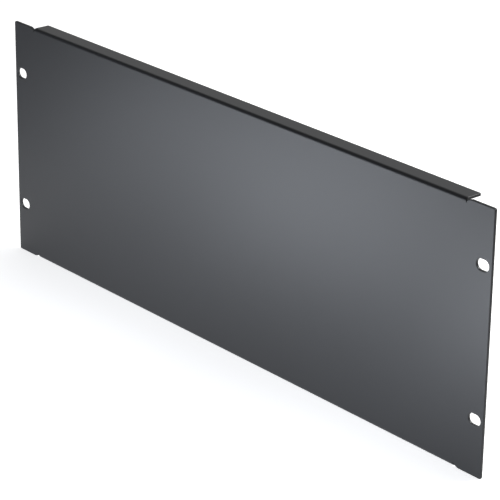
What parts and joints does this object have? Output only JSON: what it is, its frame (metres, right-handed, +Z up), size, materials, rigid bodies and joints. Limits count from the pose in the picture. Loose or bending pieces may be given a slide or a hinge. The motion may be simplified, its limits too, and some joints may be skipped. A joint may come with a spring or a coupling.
{
  "type": "rack blanking panel",
  "caption": "Flat folded steel blanking panel for a 19-inch equipment rack, with flanges folded back along its long edges and slotted mounting ears.",
  "frame": {"origin": "centre of the mounting slots' pattern, on the rear face of the ears, which lands on the rack's rails", "axes": "+X along the panel's width, +Y from the face into the rack, +Z up"},
  "size_m": [0.4806, 0.013, 0.1774],
  "materials": {
    "powder_coat": "black powder coat, satin, fine texture"
  },
  "bodies": {
    "root": {"panel": "powder_coat"}
  },
  "joints": []
}
